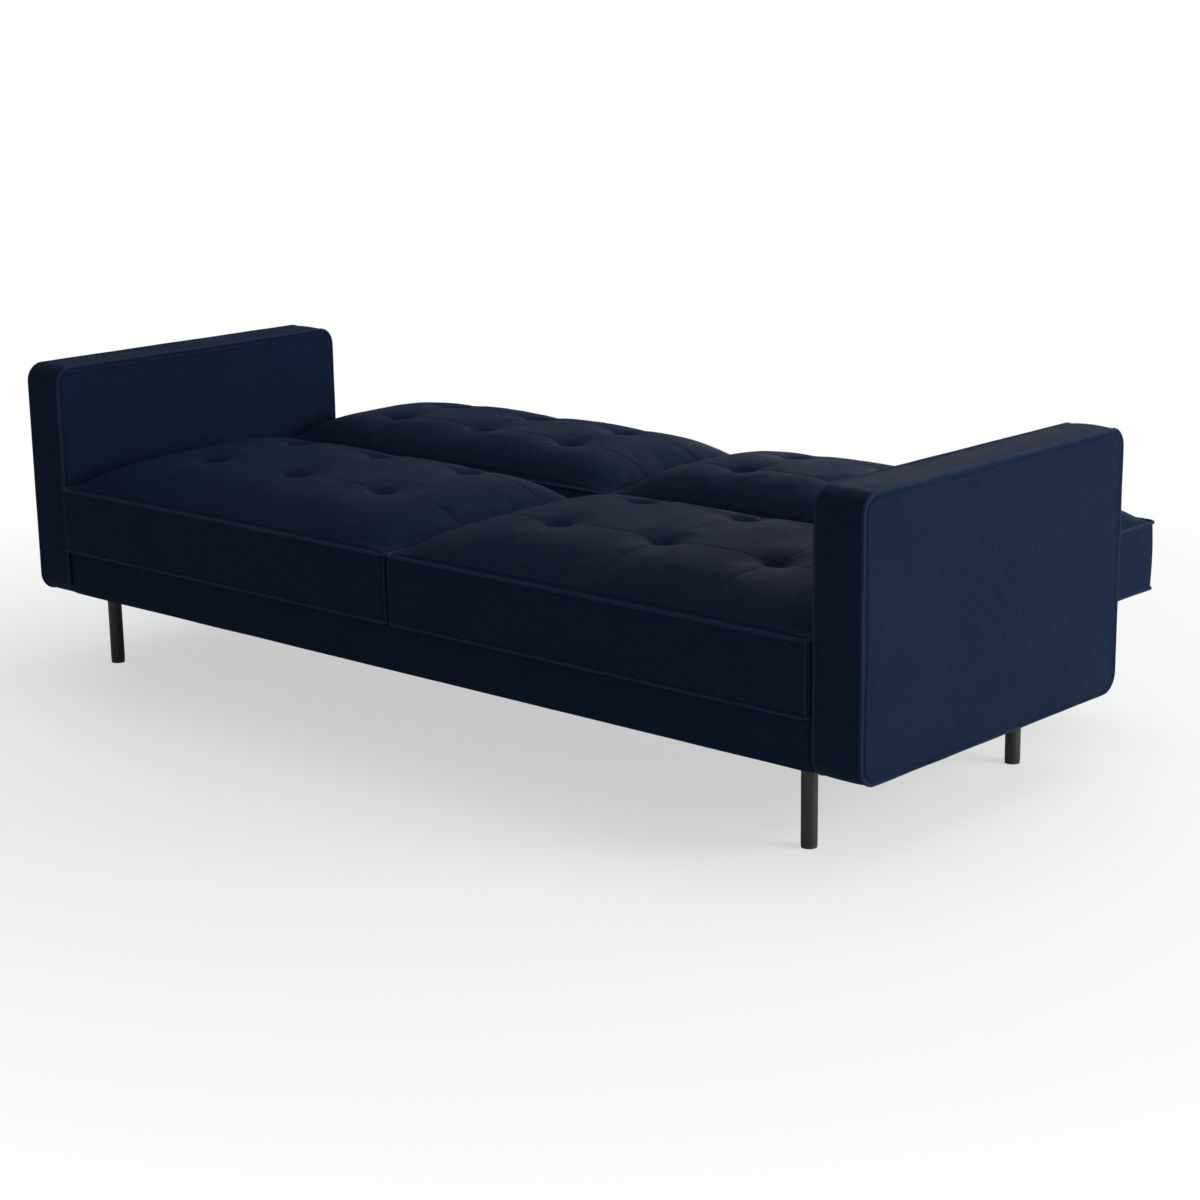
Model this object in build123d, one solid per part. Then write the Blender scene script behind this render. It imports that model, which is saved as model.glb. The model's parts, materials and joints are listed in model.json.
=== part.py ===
"""Futon sofa bed with padded arms, laid flat as a bed, in millimetres.

X runs along the seat, Y from the front edge of the seat to the free end of the back, Z up.
The origin is on the floor, under the middle of the whole outline.
"""

import os
from math import cos, radians, sin, tan

from build123d import *

os.makedirs("parts", exist_ok=True)

# Overall sizes
overall_width = 2120.0  # outside of one arm to outside of the other
bed_depth = 1052.0  # front of the seat to the free end of the flat back
floor_gap = 150.0  # floor to the underside of the base frame
seat_depth = 572.0  # front of the seat to the hinge line
fold_angle = 75.0  # back, from flat to upright

# Arms
arm_thickness = 98.0
arm_depth = 745.0
arm_height = 470.0
arm_drop = 5.0  # how far the arms hang below the base frame
arm_corner = 34.0  # corner radius seen from the side
arm_padding = 14.0
arm_timber = 40.0
seat_overhang = 12.0  # seat front, ahead of the arm fronts
piping = 3.5  # radius of every welt cord
piping_proud = 1.5  # how far a cord stands out of its edge

# Base frame
front_rail_height = 91.0
front_rail_timber = 28.0
rail_setback = 4.0  # front rail behind the arm fronts
cover_wall = 4.0  # padded fabric round the rails
cover_return = 30.0
end_gap = 3.0  # cushions and covers to the arms
low_rail_height = 50.0
side_rail_timber = 45.0
rear_rail_timber = 25.0
rear_rail_inset = 30.0  # rear rail to the rear of the arms
centre_beam_width = 40.0
sheet = 1.0  # non-woven dust covers

# Legs
leg_diameter = 28.0
leg_wall = 2.0
leg_inset = 55.0  # leg centre to the arm's inner face
front_leg_offset = 66.0  # leg centres behind the arm fronts
rear_leg_offset = 661.0
leg_plate = 70.0
leg_plate_thickness = 4.0
leg_screw_spacing = 40.0
glide_height = 5.0
block_length = 63.0
block_width = 73.0

# Seat and back
seat_gap = 2.0  # front rail to the seat's lower seam
back_step = 14.0  # back's lower seam above the seat's
cushion_wall = 129.0  # lower seam to upper seam
crown = 62.0  # upper seam to the top of the crown
crown_inner = 170.0  # where the crown levels out, from the seam
crown_shoulder = 40.0  # height of the steep part of the crown
shoulder_inset = 46.0  # width of that part
crown_ends = 110.0  # the same as crown_inner, at front and rear
cushion_gap = 3.0  # between the left and right cushions
cushion_corner = 15.0
skin = 22.0  # foam and fabric in front of the timber
side_wall = 41.0  # foam and fabric beside the hinges
hinge_drop = 22.0  # back hinge below the seat's upper seam
joint_gap = 3.0  # each cushion's end to the hinge line
groove_room = 2.0  # spare degrees when the back is upright
cushion_timber = 40.0
timber_height = 38.0
timber_lift = 4.0  # timber above the lower seam
strap = 2.0  # elastic webbing under the foam
strap_width = 50.0
strap_inset = 8.0
strap_room = 5.0
seat_straps = 11
back_straps = 11
rest_radius = 10.0
rest_places = (-0.31, -0.1, 0.1, 0.31)  # of the clear width
panel = 4.0  # fabric panels closing the undersides of the seat and the back

# Buttons, three across and two deep on every cushion
button_radius = 12.0
button_height = 6.0
button_pocket = 15.0
button_depth = 28.0  # below the crown
button_pitch = 250.0
button_rows = (0.371, 0.773)  # of the seat's depth
button_rows_back = (0.346, 0.70)  # of the back's depth

# Folding hinges
plate = 5.0
plate_gap = 1.0
bar_height = 30.0
bar_length = 300.0  # from the hinge line along the timber
bar_bolts_at = (110.0, 190.0, 270.0)
pin_radius = 6.0
pin_fit = 0.05
head_radius = 10.0
head_thickness = 3.0
lift_hinge_offset = 40.0  # seat hinge behind the back hinge
lift_hinge_rise = 35.0  # seat hinge above the side rail
base_plate_reach = 55.0  # in front of the seat hinge
base_plate_margin = 3.0  # inside the side rail's edges
ear_radius = 18.0
lift_ear_radius = 15.0
ratchet_radius = 24.0
notch_width = 9.0
notch_depth = 5.0
notch_angles = (0.0, 40.0, 75.0)
pawl_clearance = 1.5
pawl_arm = 38.0
pawl_boss = 9.0
pawl_pin_radius = 4.0
pawl_direction = 200.0  # of the pawl's nose, seen from the hinge
nose_length = 12.0
nose_lean = 1.0  # wider at its root, on one side
lever_start = 6.5  # along the nose
bolt_radius = 4.0
bolt_head_radius = 6.5
bolt_head = 4.0

# Places that follow from the sizes above
seat_front = -bed_depth / 2
back_end = bed_depth / 2
arm_front = seat_front + seat_overhang
arm_rear = arm_front + arm_depth
inner_face = overall_width / 2 - arm_thickness
arm_bottom = floor_gap - arm_drop
arm_top = arm_bottom + arm_height
hinge_y = seat_front + seat_depth
rail_top = floor_gap + front_rail_height
low_rail_top = floor_gap + low_rail_height
seat_lift = rail_top + seat_gap
seat_seam = seat_lift + cushion_wall
back_lift = seat_lift + back_step
back_seam = back_lift + cushion_wall
hinge_z = seat_seam - hinge_drop
lift_y = hinge_y + lift_hinge_offset
lift_z = low_rail_top + lift_hinge_rise
rail_front = arm_front + rail_setback
rear_rail_back = arm_rear - rear_rail_inset
side_rail_in = inner_face - side_rail_timber
side_rail_front = rail_front + cover_wall + front_rail_timber
base_plate_in = side_rail_in - plate
seat_bar_out = base_plate_in - plate_gap
back_bar_out = seat_bar_out - plate - plate_gap
cushion_out = inner_face - end_gap
cavity_out = cushion_out - side_wall
seat_timber_base = seat_lift + timber_lift
back_timber_base = back_lift + timber_lift
leg_x = inner_face - leg_inset
leg_rows = (arm_front + front_leg_offset, arm_front + rear_leg_offset)
leg_places = [(side * leg_x, y) for y in leg_rows for side in (-1, 1)]
leg_names = ["leg_front_left", "leg_front_right", "leg_rear_left", "leg_rear_right"]
groove_slope = tan(radians(fold_angle / 2 + groove_room))


def block(x0, x1, y0, y1, z0, z1):
    """A box between two corners."""
    return Pos((x0 + x1) / 2, (y0 + y1) / 2, (z0 + z1) / 2) * Box(x1 - x0, y1 - y0, z1 - z0)


def side_prism(points, x0, x1):
    """A polygon of (y, z) points, extruded along X."""
    face = make_face(Polyline(*points, close=True).edges())
    return extrude(Plane.YZ.offset(x0) * face, x1 - x0)


def front_prism(points, y0, y1):
    """A polygon of (x, z) points, extruded along Y."""
    face = make_face(Polyline(*points, close=True).edges())
    return extrude(Plane.XZ.offset(-y1) * face, y1 - y0)


def rod(x0, x1, y, z, radius):
    """A cylinder along X."""
    return Pos((x0 + x1) / 2, y, z) * Rot(0, 90, 0) * Cylinder(radius, x1 - x0)


def upright(x, y, z0, z1, radius):
    """A cylinder along Z."""
    return Pos(x, y, (z0 + z1) / 2) * Cylinder(radius, z1 - z0)


def cord(path):
    """A welt cord along a wire."""
    return sweep(Plane(path @ 0, z_dir=path % 0) * Circle(piping), path)


def bolt(x_head, x_tip, y, z):
    """A bolt along X, with its head at x_head and its shank to x_tip."""
    way = 1 if x_tip > x_head else -1
    head = rod(*sorted((x_head, x_head - way * bolt_head)), y, z, bolt_head_radius)
    return head + rod(*sorted((x_head, x_tip)), y, z, bolt_radius)


def both_sides(shape):
    """The shape for the right side and its mirror image for the left."""
    return shape, mirror(shape, about=Plane.YZ)


def save(name, *solids):
    """Writes one sub-part from one or more separate solids."""
    separate = [s for shape in solids for s in shape.solids()]
    export_step(separate[0] if len(separate) == 1 else Compound(separate), f"parts/{name}.step")


def save_pair(name, shape):
    """Writes the right piece and its mirror image."""
    right, left = both_sides(shape)
    save(f"{name}_right", right)
    save(f"{name}_left", left)


# Arms


def arm_bolt_places():
    """Where bolts join each side rail to its arm."""
    middle = arm_bottom + arm_padding + 0.4 * arm_timber
    return [(arm_front + share * arm_depth, middle) for share in (0.22, 0.5, 0.72)]


def arm_cords():
    """The two welt cords round an arm's edges."""
    loops = []
    for x in (inner_face + piping, overall_width / 2 - piping):
        inset = piping - piping_proud
        loop = Plane.YZ.offset(x) * Pos((arm_front + arm_rear) / 2, (arm_bottom + arm_top) / 2)
        outline = RectangleRounded(arm_depth - 2 * inset, arm_height - 2 * inset, arm_corner - inset)
        loops.append(cord((loop * outline).wire()))
    return loops


def arm_upholstery():
    """Padding and fabric of an arm, hollow for its timber frame, without the slivers outside its cords."""
    middle = Plane.YZ.offset(inner_face) * Pos((arm_front + arm_rear) / 2, (arm_bottom + arm_top) / 2)
    body = extrude(middle * RectangleRounded(arm_depth, arm_height, arm_corner), arm_thickness)
    body -= block(
        inner_face + arm_padding, overall_width / 2 - arm_padding,
        arm_front + arm_padding, arm_rear - arm_padding,
        arm_bottom + arm_padding, arm_top - arm_padding,
    )
    for y, z in arm_bolt_places():
        body -= rod(inner_face - 1, inner_face + arm_padding + 1, y, z, bolt_radius)
    for loop in arm_cords():
        body -= loop
    return body.solids().sort_by(SortBy.VOLUME)[-1]


def arm_frame():
    """Timber frame inside an arm: two rails and three posts, as separate pieces."""
    x0, x1 = inner_face + arm_padding, overall_width / 2 - arm_padding
    y0, y1 = arm_front + arm_padding, arm_rear - arm_padding
    z0, z1 = arm_bottom + arm_padding, arm_top - arm_padding
    lower = block(x0, x1, y0, y1, z0, z0 + arm_timber)
    for y, z in arm_bolt_places():
        lower -= rod(x0 - 1, x0 + 0.6 * (x1 - x0), y, z, bolt_radius)
    pieces = [lower, block(x0, x1, y0, y1, z1 - arm_timber, z1)]
    for y in (y0, (y0 + y1 - arm_timber) / 2, y1 - arm_timber):
        pieces.append(block(x0, x1, y, y + arm_timber, z0 + arm_timber, z1 - arm_timber))
    return pieces


def arm_bolts():
    """Bolts from inside each side rail into the arm frame."""
    tip = inner_face + arm_padding + 0.6 * (arm_thickness - 2 * arm_padding)
    return [bolt(side_rail_in, tip, y, z) for y, z in arm_bolt_places()]


# Base frame


def wrap(y_out, y_in, top, x_end):
    """Fabric round a rail: over its outer face and a little way along its top and underside, to x_end."""
    away = cover_wall if y_in > y_out else -cover_wall
    reach = cover_return if y_in > y_out else -cover_return
    outer = block(-cushion_out, cushion_out, *sorted((y_out, y_out + away)), floor_gap, top)
    flanges = [
        block(-x_end, x_end, *sorted((y_out + away, y_out + reach)), z, z + cover_wall)
        for z in (floor_gap, top - cover_wall)
    ]
    return outer + flanges[0] + flanges[1]


def side_rail():
    """Low timber rail along the inside of an arm, drilled for the arm and hinge bolts."""
    rear = rear_rail_back - cover_wall
    rail = block(side_rail_in, inner_face, side_rail_front, rear, floor_gap, low_rail_top)
    for y, z in arm_bolt_places() + base_bolt_places():
        rail -= rod(side_rail_in - 1, inner_face + 1, y, z, bolt_radius)
    return rail


def corner_blocks():
    """Blocks that the leg plates screw to, behind the front rail and ahead of the rear rail."""
    blocks = []
    for sx in (-1, 1):
        xs = sorted((sx * side_rail_in, sx * (side_rail_in - block_width)))
        y_front = side_rail_front
        y_rear = rear_rail_back - cover_return
        for y0, y1 in ((y_front, y_front + block_length), (y_rear - block_length, y_rear)):
            blocks.append(block(*xs, y0, y1, floor_gap, floor_gap + low_rail_height - 10))
    return drilled_for_screws(blocks)


def leg_screw_places():
    """The four screws of every leg plate."""
    half = leg_screw_spacing / 2
    return [(x + dx, y + dy) for x, y in leg_places for dx in (-half, half) for dy in (-half, half)]


def leg_screws():
    """Wood screws up through the leg plates."""
    low, high = floor_gap - leg_plate_thickness, floor_gap + 0.5 * low_rail_height
    return [
        upright(x, y, low - 2, low, bolt_head_radius - 1.5) + upright(x, y, low, high, 2.5)
        for x, y in leg_screw_places()
    ]


def drilled_for_screws(pieces):
    """The pieces with holes for the leg screws that pass through them."""
    drilled = []
    for piece in pieces:
        box = piece.bounding_box()
        for x, y in leg_screw_places():
            if box.min.X - 3 < x < box.max.X + 3 and box.min.Y - 3 < y < box.max.Y + 3:
                piece -= upright(x, y, box.min.Z - 1, floor_gap + 0.5 * low_rail_height, 2.5)
        drilled.append(piece)
    return drilled


def leg(x, y):
    """A steel tube leg, closed at the top by its fixing plate."""
    top = floor_gap - leg_plate_thickness
    return upright(x, y, glide_height, top, leg_diameter / 2) - upright(
        x, y, glide_height - 1, top, leg_diameter / 2 - leg_wall
    )


def glide(x, y):
    """Plastic foot pushed into the end of a leg."""
    foot = upright(x, y, 0, glide_height, leg_diameter / 2 - 0.5)
    return foot + upright(x, y, glide_height, 4 * glide_height, leg_diameter / 2 - leg_wall)


def leg_plates():
    """Fixing plates between the legs and the frame."""
    half = leg_plate / 2
    z0, z1 = floor_gap - leg_plate_thickness, floor_gap
    plates = [block(x - half, x + half, y - half, y + half, z0, z1) for x, y in leg_places]
    return drilled_for_screws(plates)


def base_dust_cover():
    """Thin cloth under the base frame, cut out round the leg plates."""
    cloth = block(
        -inner_face + 2 * end_gap, inner_face - 2 * end_gap,
        rail_front + cover_return + 2, rear_rail_back - cover_return - 2,
        floor_gap - sheet, floor_gap,
    )
    half = leg_plate / 2 + 1
    for x, y in leg_places:
        cloth -= block(x - half, x + half, y - half, y + half, floor_gap - 2, floor_gap + 1)
    return cloth


def seat_rests():
    """Rubber pads on the front rail that carry the seat."""
    y = rail_front + cover_wall + front_rail_timber / 2
    return [upright(share * 2 * inner_face, y, rail_top, seat_lift, rest_radius) for share in rest_places]


# Folding hinges: plates that turn about two pins on each side


def base_bolt_places():
    """Bolts of a base plate, into its side rail."""
    z = floor_gap + 0.4 * low_rail_height
    return [(lift_y - 42, z), (lift_y - 6, z)]


def bar_bolt_places():
    """Bolts of a seat bar into the seat's timber, and of a back bar into the back's."""
    z_seat = seat_timber_base + timber_height / 2
    z_back = back_timber_base + timber_height / 2
    seat = [(hinge_y - reach, z_seat) for reach in bar_bolts_at]
    back = [(hinge_y + reach, z_back) for reach in bar_bolts_at]
    return seat, back


def base_plate():
    """Fixed hinge plate, from the side rail up to the seat's hinge pin."""
    low = floor_gap + base_plate_margin
    front = lift_y - base_plate_reach
    shape = side_prism(
        [
            (front, low), (lift_y + 7, low), (lift_y + lift_ear_radius, lift_z),
            (lift_y - lift_ear_radius, lift_z), (front, low_rail_top - base_plate_margin),
        ],
        base_plate_in, side_rail_in,
    )
    shape += rod(base_plate_in, side_rail_in, lift_y, lift_z, lift_ear_radius)
    shape -= rod(base_plate_in - 1, side_rail_in + 1, lift_y, lift_z, pin_radius)
    for y, z in base_bolt_places():
        shape -= rod(base_plate_in - 1, side_rail_in + 1, y, z, bolt_radius)
    return shape


def seat_bar():
    """Seat's hinge plate: along its side timber, up to the back pin and down to the base pin."""
    x0, x1 = seat_bar_out - plate, seat_bar_out
    z0 = seat_timber_base + (timber_height - bar_height) / 2
    z1 = z0 + bar_height
    shape = block(x0, x1, hinge_y - bar_length, hinge_y - 20, z0, z1)
    shape += side_prism(
        [
            (hinge_y - 70, z0), (hinge_y - 10, z0), (hinge_y + 14, hinge_z - 11),
            (hinge_y - 11, hinge_z + 14), (hinge_y - 70, z1),
        ],
        x0, x1,
    )
    lift_arm = [
        (hinge_y - 50, z0 + 4), (hinge_y - 16, z0), (lift_y + 2, lift_z + 14.5), (lift_y - 8, lift_z - 12.5)
    ]
    shape += side_prism(lift_arm, x0, x1)
    shape += rod(x0, x1, hinge_y, hinge_z, ear_radius)
    shape += rod(x0, x1, lift_y, lift_z, lift_ear_radius)
    shape -= rod(x0 - 1, x1 + 1, hinge_y, hinge_z, pin_radius)
    shape -= rod(x0 - 1, x1 + 1, lift_y, lift_z, pin_radius + pin_fit)
    shape -= rod(x0 - 1, x1 + 1, *pawl_pivot(), pawl_pin_radius)
    for y, z in bar_bolt_places()[0]:
        shape -= rod(x0 - 1, x1 + 1, y, z, bolt_radius)
    return shape


def back_bar():
    """Back's hinge plate, with a notched rim round its pin."""
    x0, x1 = back_bar_out - plate, back_bar_out
    z0 = back_timber_base + (timber_height - bar_height) / 2
    z1 = z0 + bar_height
    shape = side_prism(
        [
            (hinge_y + 6, hinge_z - 20), (hinge_y + 18, z0), (hinge_y + bar_length, z0),
            (hinge_y + bar_length, z1), (hinge_y + 50, z1), (hinge_y + 22, hinge_z),
        ],
        x0, x1,
    )
    shape += rod(x0, x1, hinge_y, hinge_z, ratchet_radius)
    shape -= rod(x0 - 1, x1 + 1, hinge_y, hinge_z, pin_radius + pin_fit)
    for angle in notch_angles:
        notch = Pos((x0 + x1) / 2, hinge_y, hinge_z) * Rot(pawl_direction - angle, 0, 0)
        shape -= notch * Pos(0, ratchet_radius, 0) * Box(plate + 2, 2 * notch_depth, notch_width)
    for y, z in bar_bolt_places()[1]:
        shape -= rod(x0 - 1, x1 + 1, y, z, bolt_radius)
    return shape


def on_rim(radius, direction):
    """A point at that distance and direction, in degrees, from the back's hinge pin."""
    return hinge_y + radius * cos(radians(direction)), hinge_z + radius * sin(radians(direction))


def pawl_pivot():
    """Where the pawl turns: below the hinge, beside its nose."""
    y, z = on_rim(ratchet_radius + pawl_clearance + 4, pawl_direction)
    return y + pawl_arm * cos(radians(pawl_direction + 90)), z + pawl_arm * sin(radians(pawl_direction + 90))


def pawl():
    """Locking lever whose nose drops into the rim's notches, drawn clear of them as when the bed is flat."""
    x0, x1 = back_bar_out - plate, back_bar_out
    y0, z0 = pawl_pivot()
    outward = (cos(radians(pawl_direction)), sin(radians(pawl_direction)))
    y1, z1 = on_rim(ratchet_radius + pawl_clearance, pawl_direction)
    half = 0.3 * notch_width
    along = (-outward[1], outward[0])

    def nose(out, side):
        return y1 + out * outward[0] + side * along[0], z1 + out * outward[1] + side * along[1]

    root = nose(nose_length, -half)
    shape = side_prism([nose(0, -half), nose(0, half), nose(nose_length, half + nose_lean), root], x0, x1)
    shape += side_prism([nose(lever_start, half), root, (y0 - 8, z0 + 2), (y0 + 7, z0 + 4)], x0, x1)
    shape += rod(x0, x1, y0, z0, pawl_boss)
    return shape - rod(x0 - 1, x1 + 1, y0, z0, pawl_pin_radius + pin_fit)


def pawl_pin():
    """Rivet of the pawl, fixed in the seat bar."""
    y, z = pawl_pivot()
    x0, x1 = back_bar_out - plate - plate_gap, seat_bar_out
    return rod(x0, x1, y, z, pawl_pin_radius) + rod(x0 - 2, x0, y, z, pawl_boss - 2)


def lift_pin():
    """Headed pin of the seat's hinge, fixed in the base plate."""
    x0 = seat_bar_out - plate - plate_gap
    return rod(x0, side_rail_in, lift_y, lift_z, pin_radius) + rod(
        x0 - head_thickness, x0, lift_y, lift_z, head_radius
    )


def back_pin():
    """Headed pin of the back's hinge, fixed in the seat bar."""
    x0 = back_bar_out - plate - plate_gap
    return rod(x0, seat_bar_out, hinge_y, hinge_z, pin_radius) + rod(
        x0 - head_thickness, x0, hinge_y, hinge_z, head_radius
    )


# Seat and back cushions


def crowned(x0, x1, y_seam_a, y_seam_b, low, seam, end_profile):
    """A crowned block: its side view crossed with its front view, with rounded upright corners."""
    top = seam + crown
    shoulder = seam + crown_shoulder
    front_view = [
        (x0, low), (x1, low), (x1, seam), (x1 - shoulder_inset, shoulder), (x1 - crown_inner, top),
        (x0 + crown_inner, top), (x0 + shoulder_inset, shoulder), (x0, seam),
    ]
    body = side_prism(end_profile, x0 - 1, x1 + 1) & front_prism(front_view, y_seam_a - 1, y_seam_b + 1)
    middle = Pos((x0 + x1) / 2, (y_seam_a + y_seam_b) / 2, low - 1)
    outline = RectangleRounded(x1 - x0, y_seam_b - y_seam_a, cushion_corner)
    return body & extrude(middle * outline, 2 * cushion_wall + crown)


def seat_profile():
    """Side view of the seat cushion, with its end sloped away above the hinge."""
    top, shoulder = seat_seam + crown, seat_seam + crown_shoulder
    end = hinge_y - joint_gap
    seam_end = end - hinge_drop * groove_slope
    return [
        (seat_front, seat_lift), (end, seat_lift), (end, hinge_z), (seam_end, seat_seam),
        (seam_end - shoulder_inset, shoulder), (end - crown_ends - shoulder_inset, top),
        (seat_front + crown_ends + shoulder_inset, top), (seat_front + shoulder_inset, shoulder),
        (seat_front, seat_seam),
    ]


def back_profile():
    """Side view of the back cushion, with its end sloped away above the hinge."""
    top, shoulder = back_seam + crown, back_seam + crown_shoulder
    end = hinge_y + joint_gap
    seam_end = end + (back_seam - hinge_z) * groove_slope
    return [
        (back_end, back_lift), (end, back_lift), (end, hinge_z), (seam_end, back_seam),
        (seam_end + shoulder_inset, shoulder), (end + crown_ends + shoulder_inset, top),
        (back_end - crown_ends - shoulder_inset, top), (back_end - shoulder_inset, shoulder),
        (back_end, back_seam),
    ]


def hinge_pocket(low, seam):
    """Room round the hinge plates and the pawl, on the right side."""
    inner = back_bar_out - plate - head_thickness - 4 * plate_gap
    return block(inner, cavity_out, hinge_y - 85, hinge_y + 55, low - 1, seam + 4)


def edge_cord(x0, x1, y_corner, y_end, z, both=True):
    """A welt cord along the free edge and back along the outer side, or along both sides."""
    inset = piping - piping_proud
    y = y_corner + (inset if y_end > y_corner else -inset)
    points = [(x1 - inset, y_end, z), (x1 - inset, y, z)]
    if both:
        points += [(x0 + inset, y, z), (x0 + inset, y_end, z)]
    else:
        points.append((x0 + cushion_corner, y, z))
    return cord(FilletPolyline(*points, radius=cushion_corner - inset))


def seat_cords():
    """Upper and lower cords of the right seat cushion."""
    x0, x1 = cushion_gap / 2, cushion_out
    upper_end = hinge_y - joint_gap - hinge_drop * groove_slope - cushion_corner
    lower_end = hinge_y - joint_gap - cushion_corner
    return [
        edge_cord(x0, x1, seat_front, upper_end, seat_seam - piping),
        edge_cord(x0, x1, seat_front, lower_end, seat_lift + piping, both=False),
    ]


def back_cords():
    """Upper and lower cords of the right back cushion."""
    x0, x1 = cushion_gap / 2, cushion_out
    upper_end = hinge_y + joint_gap + (back_seam - hinge_z) * groove_slope + cushion_corner
    lower_end = hinge_y + joint_gap + cushion_corner
    return [
        edge_cord(x0, x1, back_end, upper_end, back_seam - piping),
        edge_cord(x0, x1, back_end, lower_end, back_lift + piping, both=False),
    ]


def button_places(start, depth, rows):
    """Centres of the buttons of the right cushion."""
    middle = (cushion_gap / 2 + cushion_out) / 2
    return [(middle + i * button_pitch, start + row * depth) for row in rows for i in (-1, 0, 1)]


def buttons(places, seam):
    """Covered buttons of the right cushion, down in their dimples."""
    z = seam + crown - button_depth
    discs = [upright(x, y, z, z + button_height, button_radius) for x, y in places]
    return [fillet(disc.edges().group_by(Axis.Z)[-1], 0.4 * button_height) for disc in discs]


def seat_button_places():
    return button_places(seat_front, seat_depth, button_rows)


def back_button_places():
    return button_places(hinge_y, back_end - hinge_y, button_rows_back)


def cushion(profile, y0, y1, low, seam, cavity, places, cords):
    """The right cushion: crowned, hollow below for its timber and hinges, grooved for its cords."""
    body = crowned(cushion_gap / 2, cushion_out, y0, y1, low, seam, profile)
    body -= cavity
    body -= hinge_pocket(min(low, seat_lift), seat_seam)
    z = seam + crown - button_depth
    for x, y in places:
        body -= upright(x, y, z, seam + crown + 1, button_pocket)
    for c in cords:
        body -= c
    return body


def seat_cushion():
    cavity = block(
        -1, cavity_out, seat_front + skin, hinge_y - joint_gap - skin,
        seat_lift - 1, seat_timber_base + timber_height + strap_room,
    )
    return cushion(
        seat_profile(), seat_front, hinge_y - joint_gap, seat_lift, seat_seam,
        cavity, seat_button_places(), seat_cords(),
    )


def back_cushion():
    cavity = block(
        -1, cavity_out, hinge_y + joint_gap + skin, back_end - skin,
        back_lift - 1, back_timber_base + timber_height + strap_room,
    )
    return cushion(
        back_profile(), hinge_y + joint_gap, back_end, back_lift, back_seam,
        cavity, back_button_places(), back_cords(),
    )


# Timber frames and webbing of the seat and the back


def cross_rails(y0, y1, x_end, z0):
    """A frame's two long rails."""
    t = cushion_timber
    return (
        block(-x_end, x_end, y0, y0 + t, z0, z0 + timber_height),
        block(-x_end, x_end, y1 - t, y1, z0, z0 + timber_height),
    )


def side_timber(x_out, y0, y1, z0, places):
    """A frame's side rail, between its long rails, drilled for the hinge bar's bolts."""
    t = cushion_timber
    rail = block(x_out - t, x_out, y0 + t, y1 - t, z0, z0 + timber_height)
    for y, z in places:
        rail -= rod(x_out - 30, x_out + 1, y, z, bolt_radius)
    return rail


def webbing(count, x_end, y0, y1, z0):
    """Elastic straps across a frame, stapled on top of its long rails."""
    spacing = 2 * (x_end - cushion_timber) / count
    half = strap_width / 2
    centres = [(i - (count - 1) / 2) * spacing for i in range(count)]
    return [block(x - half, x + half, y0 + strap_inset, y1 - strap_inset, z0, z0 + strap) for x in centres]


def bar_bolts(places, x_plate):
    """Bolts through a hinge bar into the timber behind it."""
    return [bolt(x_plate, x_plate - plate - 28, y, z) for y, z in places]


def write_base():
    save_pair("arm_upholstery", arm_upholstery())
    save_pair("arm_frame", Compound(arm_frame()))
    save_pair("arm_piping", Compound(arm_cords()))
    right, left = both_sides(Compound(arm_bolts()))
    save("arm_bolts", right, left)
    y = rail_front + cover_wall
    front = block(
        -side_rail_in - side_rail_timber + end_gap, side_rail_in + side_rail_timber - end_gap,
        y, y + front_rail_timber, floor_gap + cover_wall, rail_top - cover_wall,
    )
    save("front_rail", front)
    save("front_rail_cover", wrap(rail_front, rail_front + 1, rail_top, cushion_out))
    y = rear_rail_back - cover_wall
    rear = block(
        -side_rail_in, side_rail_in, y - rear_rail_timber, y,
        floor_gap + cover_wall, low_rail_top - cover_wall,
    )
    save("rear_rail", rear)
    save("rear_rail_cover", wrap(rear_rail_back, rear_rail_back - 1, low_rail_top, side_rail_in))
    rail = side_rail() - front - wrap(rail_front, rail_front + 1, rail_top, cushion_out)
    save_pair("side_rail", drilled_for_screws([rail])[0])
    half = centre_beam_width / 2
    save(
        "centre_beam",
        block(-half, half, side_rail_front, rear_rail_back - cover_return, floor_gap, low_rail_top),
    )
    save("corner_blocks", *corner_blocks())
    for name, place in zip(leg_names, leg_places):
        save(name, leg(*place))
    save("foot_glides", *[glide(*place) for place in leg_places])
    save("leg_plates", *leg_plates())
    save("leg_screws", *leg_screws())
    save("base_dust_cover", base_dust_cover())
    save("seat_rests", *seat_rests())
    save_pair("hinge_base_plate", base_plate())
    save("seat_hinge_pins", *both_sides(lift_pin()))
    tip = base_plate_in + plate + 30
    base_bolts = Compound([bolt(base_plate_in, tip, y, z) for y, z in base_bolt_places()])
    save("hinge_base_bolts", *both_sides(base_bolts))


def write_seat():
    x_out = seat_bar_out - plate
    y0, y1 = seat_front + skin, hinge_y - joint_gap - skin
    front, rear = cross_rails(y0, y1, x_out, seat_timber_base)
    save("seat_front_timber", front)
    save("seat_rear_timber", rear)
    bolts, _ = bar_bolt_places()
    save_pair("seat_side_timber", side_timber(x_out, y0, y1, seat_timber_base, bolts))
    t = cushion_timber
    top = seat_timber_base + timber_height
    save("seat_centre_timber", block(-t / 2, t / 2, y0 + t, y1 - t, seat_timber_base, top))
    save("seat_webbing", *webbing(seat_straps, x_out, y0, y1, top))
    save_pair("seat_cushion", seat_cushion())
    save("seat_panel", block(-x_out, x_out, y0 + 0.5, y1 - 0.5, seat_lift, seat_lift + panel))
    save("seat_piping", *both_sides(Compound(seat_cords())))
    save("seat_buttons", *both_sides(Compound(buttons(seat_button_places(), seat_seam))))
    save_pair("seat_hinge_bar", seat_bar())
    save("seat_hinge_bolts", *both_sides(Compound(bar_bolts(bolts, seat_bar_out))))
    save("back_hinge_pins", *both_sides(back_pin()))
    save("pawl_pins", *both_sides(pawl_pin()))
    save_pair("pawl", pawl())


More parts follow.
